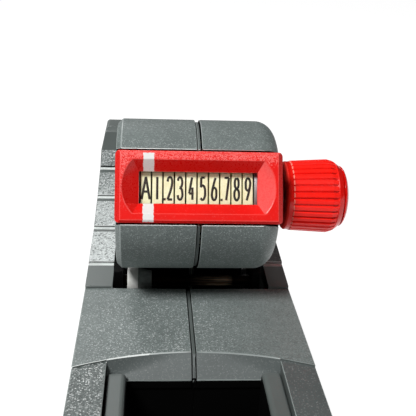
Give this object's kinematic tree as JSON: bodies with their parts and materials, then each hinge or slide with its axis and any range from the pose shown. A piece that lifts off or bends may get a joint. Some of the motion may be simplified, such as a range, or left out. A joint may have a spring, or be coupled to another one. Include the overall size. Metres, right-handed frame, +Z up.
{
  "type": "price labeller",
  "caption": "Hand-held price labeller: squeeze lever swings a print head with turning character wheels and a selector knob over a deck, label bay, feed wheel and applicator roller.",
  "frame": {"origin": "middle of the label cradle's flat base, on the centre plane of the housings, at table level", "axes": "+X to the user's right, +Y towards the nose, +Z up"},
  "size_m": [0.0622, 0.248, 0.0989],
  "materials": {
    "housing_grey": "spark-eroded texture",
    "smooth_grey": "smooth moulded",
    "red": "semi-gloss moulded",
    "type_cream": "moulded, printed characters",
    "acetal": "moulded",
    "steel": "turned",
    "aluminium": "satin",
    "black_rubber": "moulded",
    "ink_foam": "inked felt"
  },
  "bodies": {
    "housing": {"housing_left": "housing_grey", "housing_right": "housing_grey", "label_cradle": "smooth_grey", "roll_hub_left": "smooth_grey", "roll_hub_right": "smooth_grey", "print_bed": "black_rubber", "peel_bar": "steel", "pivot_pins": "steel", "return_springs": "steel", "feed_axle": "steel", "roller_axle": "steel", "housing_screws": "steel", "door_pin_rod": "steel", "nose_pin_rod": "steel", "ink_pin_rod": "steel"},
    "rocker": {"squeeze_lever": "smooth_grey", "rocker_arm_left": "smooth_grey", "rocker_arm_right": "smooth_grey", "lever_screws": "steel", "head_carrier": "smooth_grey", "cross_shaft": "steel", "shaft_bush": "acetal", "head_shell_left": "housing_grey", "head_shell_right": "housing_grey", "window_frame": "red", "wheel_spacers": "aluminium", "type_anvil": "smooth_grey", "type_bands": "type_cream", "knob_collar": "red", "pawl_pin": "steel"},
    "drive_tube": {"drive_tube": "steel"},
    "selector": {"selector_rod": "steel", "selector_knob": "red", "knob_cap": "red"},
    "feed": {"feed_wheel": "acetal", "ratchet_wheel": "acetal"},
    "pawl": {"feed_pawl": "acetal"},
    "roller": {"applicator_roller": "black_rubber"},
    "ink_arm": {"ink_arm": "smooth_grey", "ink_axle": "steel"},
    "ink_roller": {"ink_roller": "ink_foam"},
    "nose_cover": {"nose_cover": "housing_grey"},
    "bottom_door": {"bottom_door": "housing_grey"},
    "type_wheel_1": {"type_wheel_1": "type_cream"},
    "type_wheel_2": {"type_wheel_2": "type_cream"},
    "type_wheel_3": {"type_wheel_3": "type_cream"},
    "type_wheel_4": {"type_wheel_4": "type_cream"},
    "type_wheel_5": {"type_wheel_5": "type_cream"},
    "type_wheel_6": {"type_wheel_6": "type_cream"},
    "type_wheel_7": {"type_wheel_7": "type_cream"},
    "type_wheel_8": {"type_wheel_8": "type_cream"},
    "type_wheel_9": {"type_wheel_9": "type_cream"},
    "type_wheel_10": {"type_wheel_10": "type_cream"}
  },
  "joints": [
    {"name": "lever_squeeze", "type": "hinge", "parent": "housing", "child": "rocker", "pos_m": [0, 0.011, 0.038], "axis": [-1, 0, 0], "range_deg": [0, 9], "stiffness_Nm_per_rad": 1.2, "springref_deg": -17.19, "deforming": ["return_springs"]},
    {"name": "selector_turn", "type": "hinge", "parent": "rocker", "child": "drive_tube", "pos_m": [0.0011, 0.06, 0.0814], "axis": [1, 0, 0], "continuous": true},
    {"name": "selector_pull", "type": "slide", "parent": "drive_tube", "child": "selector", "axis": [1, 0, 0], "range_m": [0, 0.0225]},
    {"name": "feed_turn", "type": "hinge", "parent": "housing", "child": "feed", "pos_m": [0, 0.072, 0.0208], "axis": [1, 0, 0], "continuous": true},
    {"name": "pawl_swing", "type": "hinge", "parent": "rocker", "child": "pawl", "pos_m": [0, 0.057, 0.0445], "axis": [-1, 0, 0], "range_deg": [0, 10], "stiffness_Nm_per_rad": 0.01, "springref_deg": -17.19},
    {"name": "roller_turn", "type": "hinge", "parent": "housing", "child": "roller", "pos_m": [0, 0.115, 0.0106], "axis": [1, 0, 0], "continuous": true},
    {"name": "ink_arm_swing", "type": "hinge", "parent": "housing", "child": "ink_arm", "pos_m": [0, 0.098, 0.066], "axis": [1, 0, 0], "range_deg": [0, 12], "stiffness_Nm_per_rad": 0.02, "springref_deg": -17.19},
    {"name": "ink_turn", "type": "hinge", "parent": "ink_arm", "child": "ink_roller", "pos_m": [0, 0.092, 0.052], "axis": [1, 0, 0], "continuous": true},
    {"name": "nose_open", "type": "hinge", "parent": "housing", "child": "nose_cover", "pos_m": [0, 0.1194, 0.029], "axis": [-1, 0, 0], "range_deg": [0, 75]},
    {"name": "door_open", "type": "hinge", "parent": "housing", "child": "bottom_door", "pos_m": [0, 0.0286, 0.0037], "axis": [-1, 0, 0], "range_deg": [0, 70]},
    {"name": "wheel_1_turn", "type": "hinge", "parent": "rocker", "child": "type_wheel_1", "pos_m": [0.0011, 0.06, 0.0814], "axis": [1, 0, 0], "continuous": true},
    {"name": "wheel_2_turn", "type": "hinge", "parent": "rocker", "child": "type_wheel_2", "pos_m": [0.0011, 0.06, 0.0814], "axis": [1, 0, 0], "continuous": true},
    {"name": "wheel_3_turn", "type": "hinge", "parent": "rocker", "child": "type_wheel_3", "pos_m": [0.0011, 0.06, 0.0814], "axis": [1, 0, 0], "continuous": true},
    {"name": "wheel_4_turn", "type": "hinge", "parent": "rocker", "child": "type_wheel_4", "pos_m": [0.0011, 0.06, 0.0814], "axis": [1, 0, 0], "continuous": true},
    {"name": "wheel_5_turn", "type": "hinge", "parent": "rocker", "child": "type_wheel_5", "pos_m": [0.0011, 0.06, 0.0814], "axis": [1, 0, 0], "continuous": true},
    {"name": "wheel_6_turn", "type": "hinge", "parent": "rocker", "child": "type_wheel_6", "pos_m": [0.0011, 0.06, 0.0814], "axis": [1, 0, 0], "continuous": true},
    {"name": "wheel_7_turn", "type": "hinge", "parent": "rocker", "child": "type_wheel_7", "pos_m": [0.0011, 0.06, 0.0814], "axis": [1, 0, 0], "continuous": true},
    {"name": "wheel_8_turn", "type": "hinge", "parent": "rocker", "child": "type_wheel_8", "pos_m": [0.0011, 0.06, 0.0814], "axis": [1, 0, 0], "continuous": true},
    {"name": "wheel_9_turn", "type": "hinge", "parent": "rocker", "child": "type_wheel_9", "pos_m": [0.0011, 0.06, 0.0814], "axis": [1, 0, 0], "continuous": true},
    {"name": "wheel_10_turn", "type": "hinge", "parent": "rocker", "child": "type_wheel_10", "pos_m": [0.0011, 0.06, 0.0814], "axis": [1, 0, 0], "continuous": true}
  ]
}
